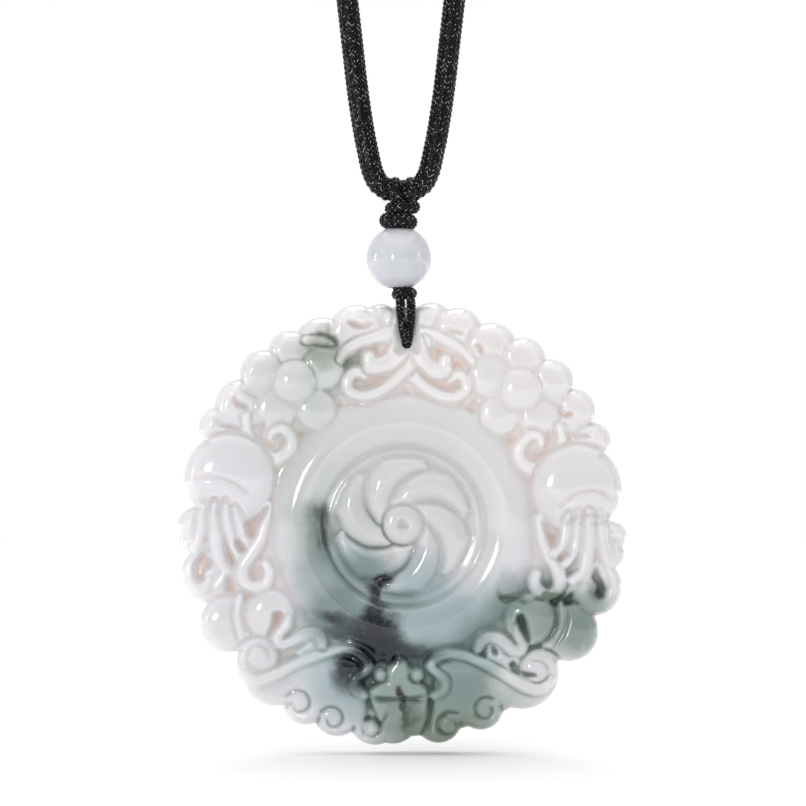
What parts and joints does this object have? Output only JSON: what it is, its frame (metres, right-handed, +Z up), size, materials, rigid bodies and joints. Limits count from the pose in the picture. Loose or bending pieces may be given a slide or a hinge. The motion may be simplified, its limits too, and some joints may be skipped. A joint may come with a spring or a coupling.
{
  "type": "carved jade disc pendant on cord",
  "caption": "Round jade pendant carved in relief with a central ring and swirl, flowers and gourds, hung under a bead on a black neck cord.",
  "frame": {"origin": "inner top of the neck cord's loop, under its slide knot, where the pendant hangs on a neck or a hook", "axes": "+Z up along the hanging string, front of the carving towards -Y, width of the disc along X"},
  "size_m": [0.0566, 0.008, 0.309],
  "materials": {
    "jade": "polished",
    "cord": "braided"
  },
  "bodies": {
    "neck_loop_cord": {"neck_cord": "cord", "closure": "cord"},
    "drop": {"cord_wraps": "cord", "jade_bead": "jade", "hanging_cord": "cord", "hitch_band": "cord", "carved_disc": "jade"}
  },
  "joints": [
    {"name": "pendant_swing", "type": "hinge", "parent": "neck_loop_cord", "child": "drop", "pos_m": [0, 0, -0.234], "axis": [1, 0, 0], "range_deg": [-90, 90]}
  ]
}
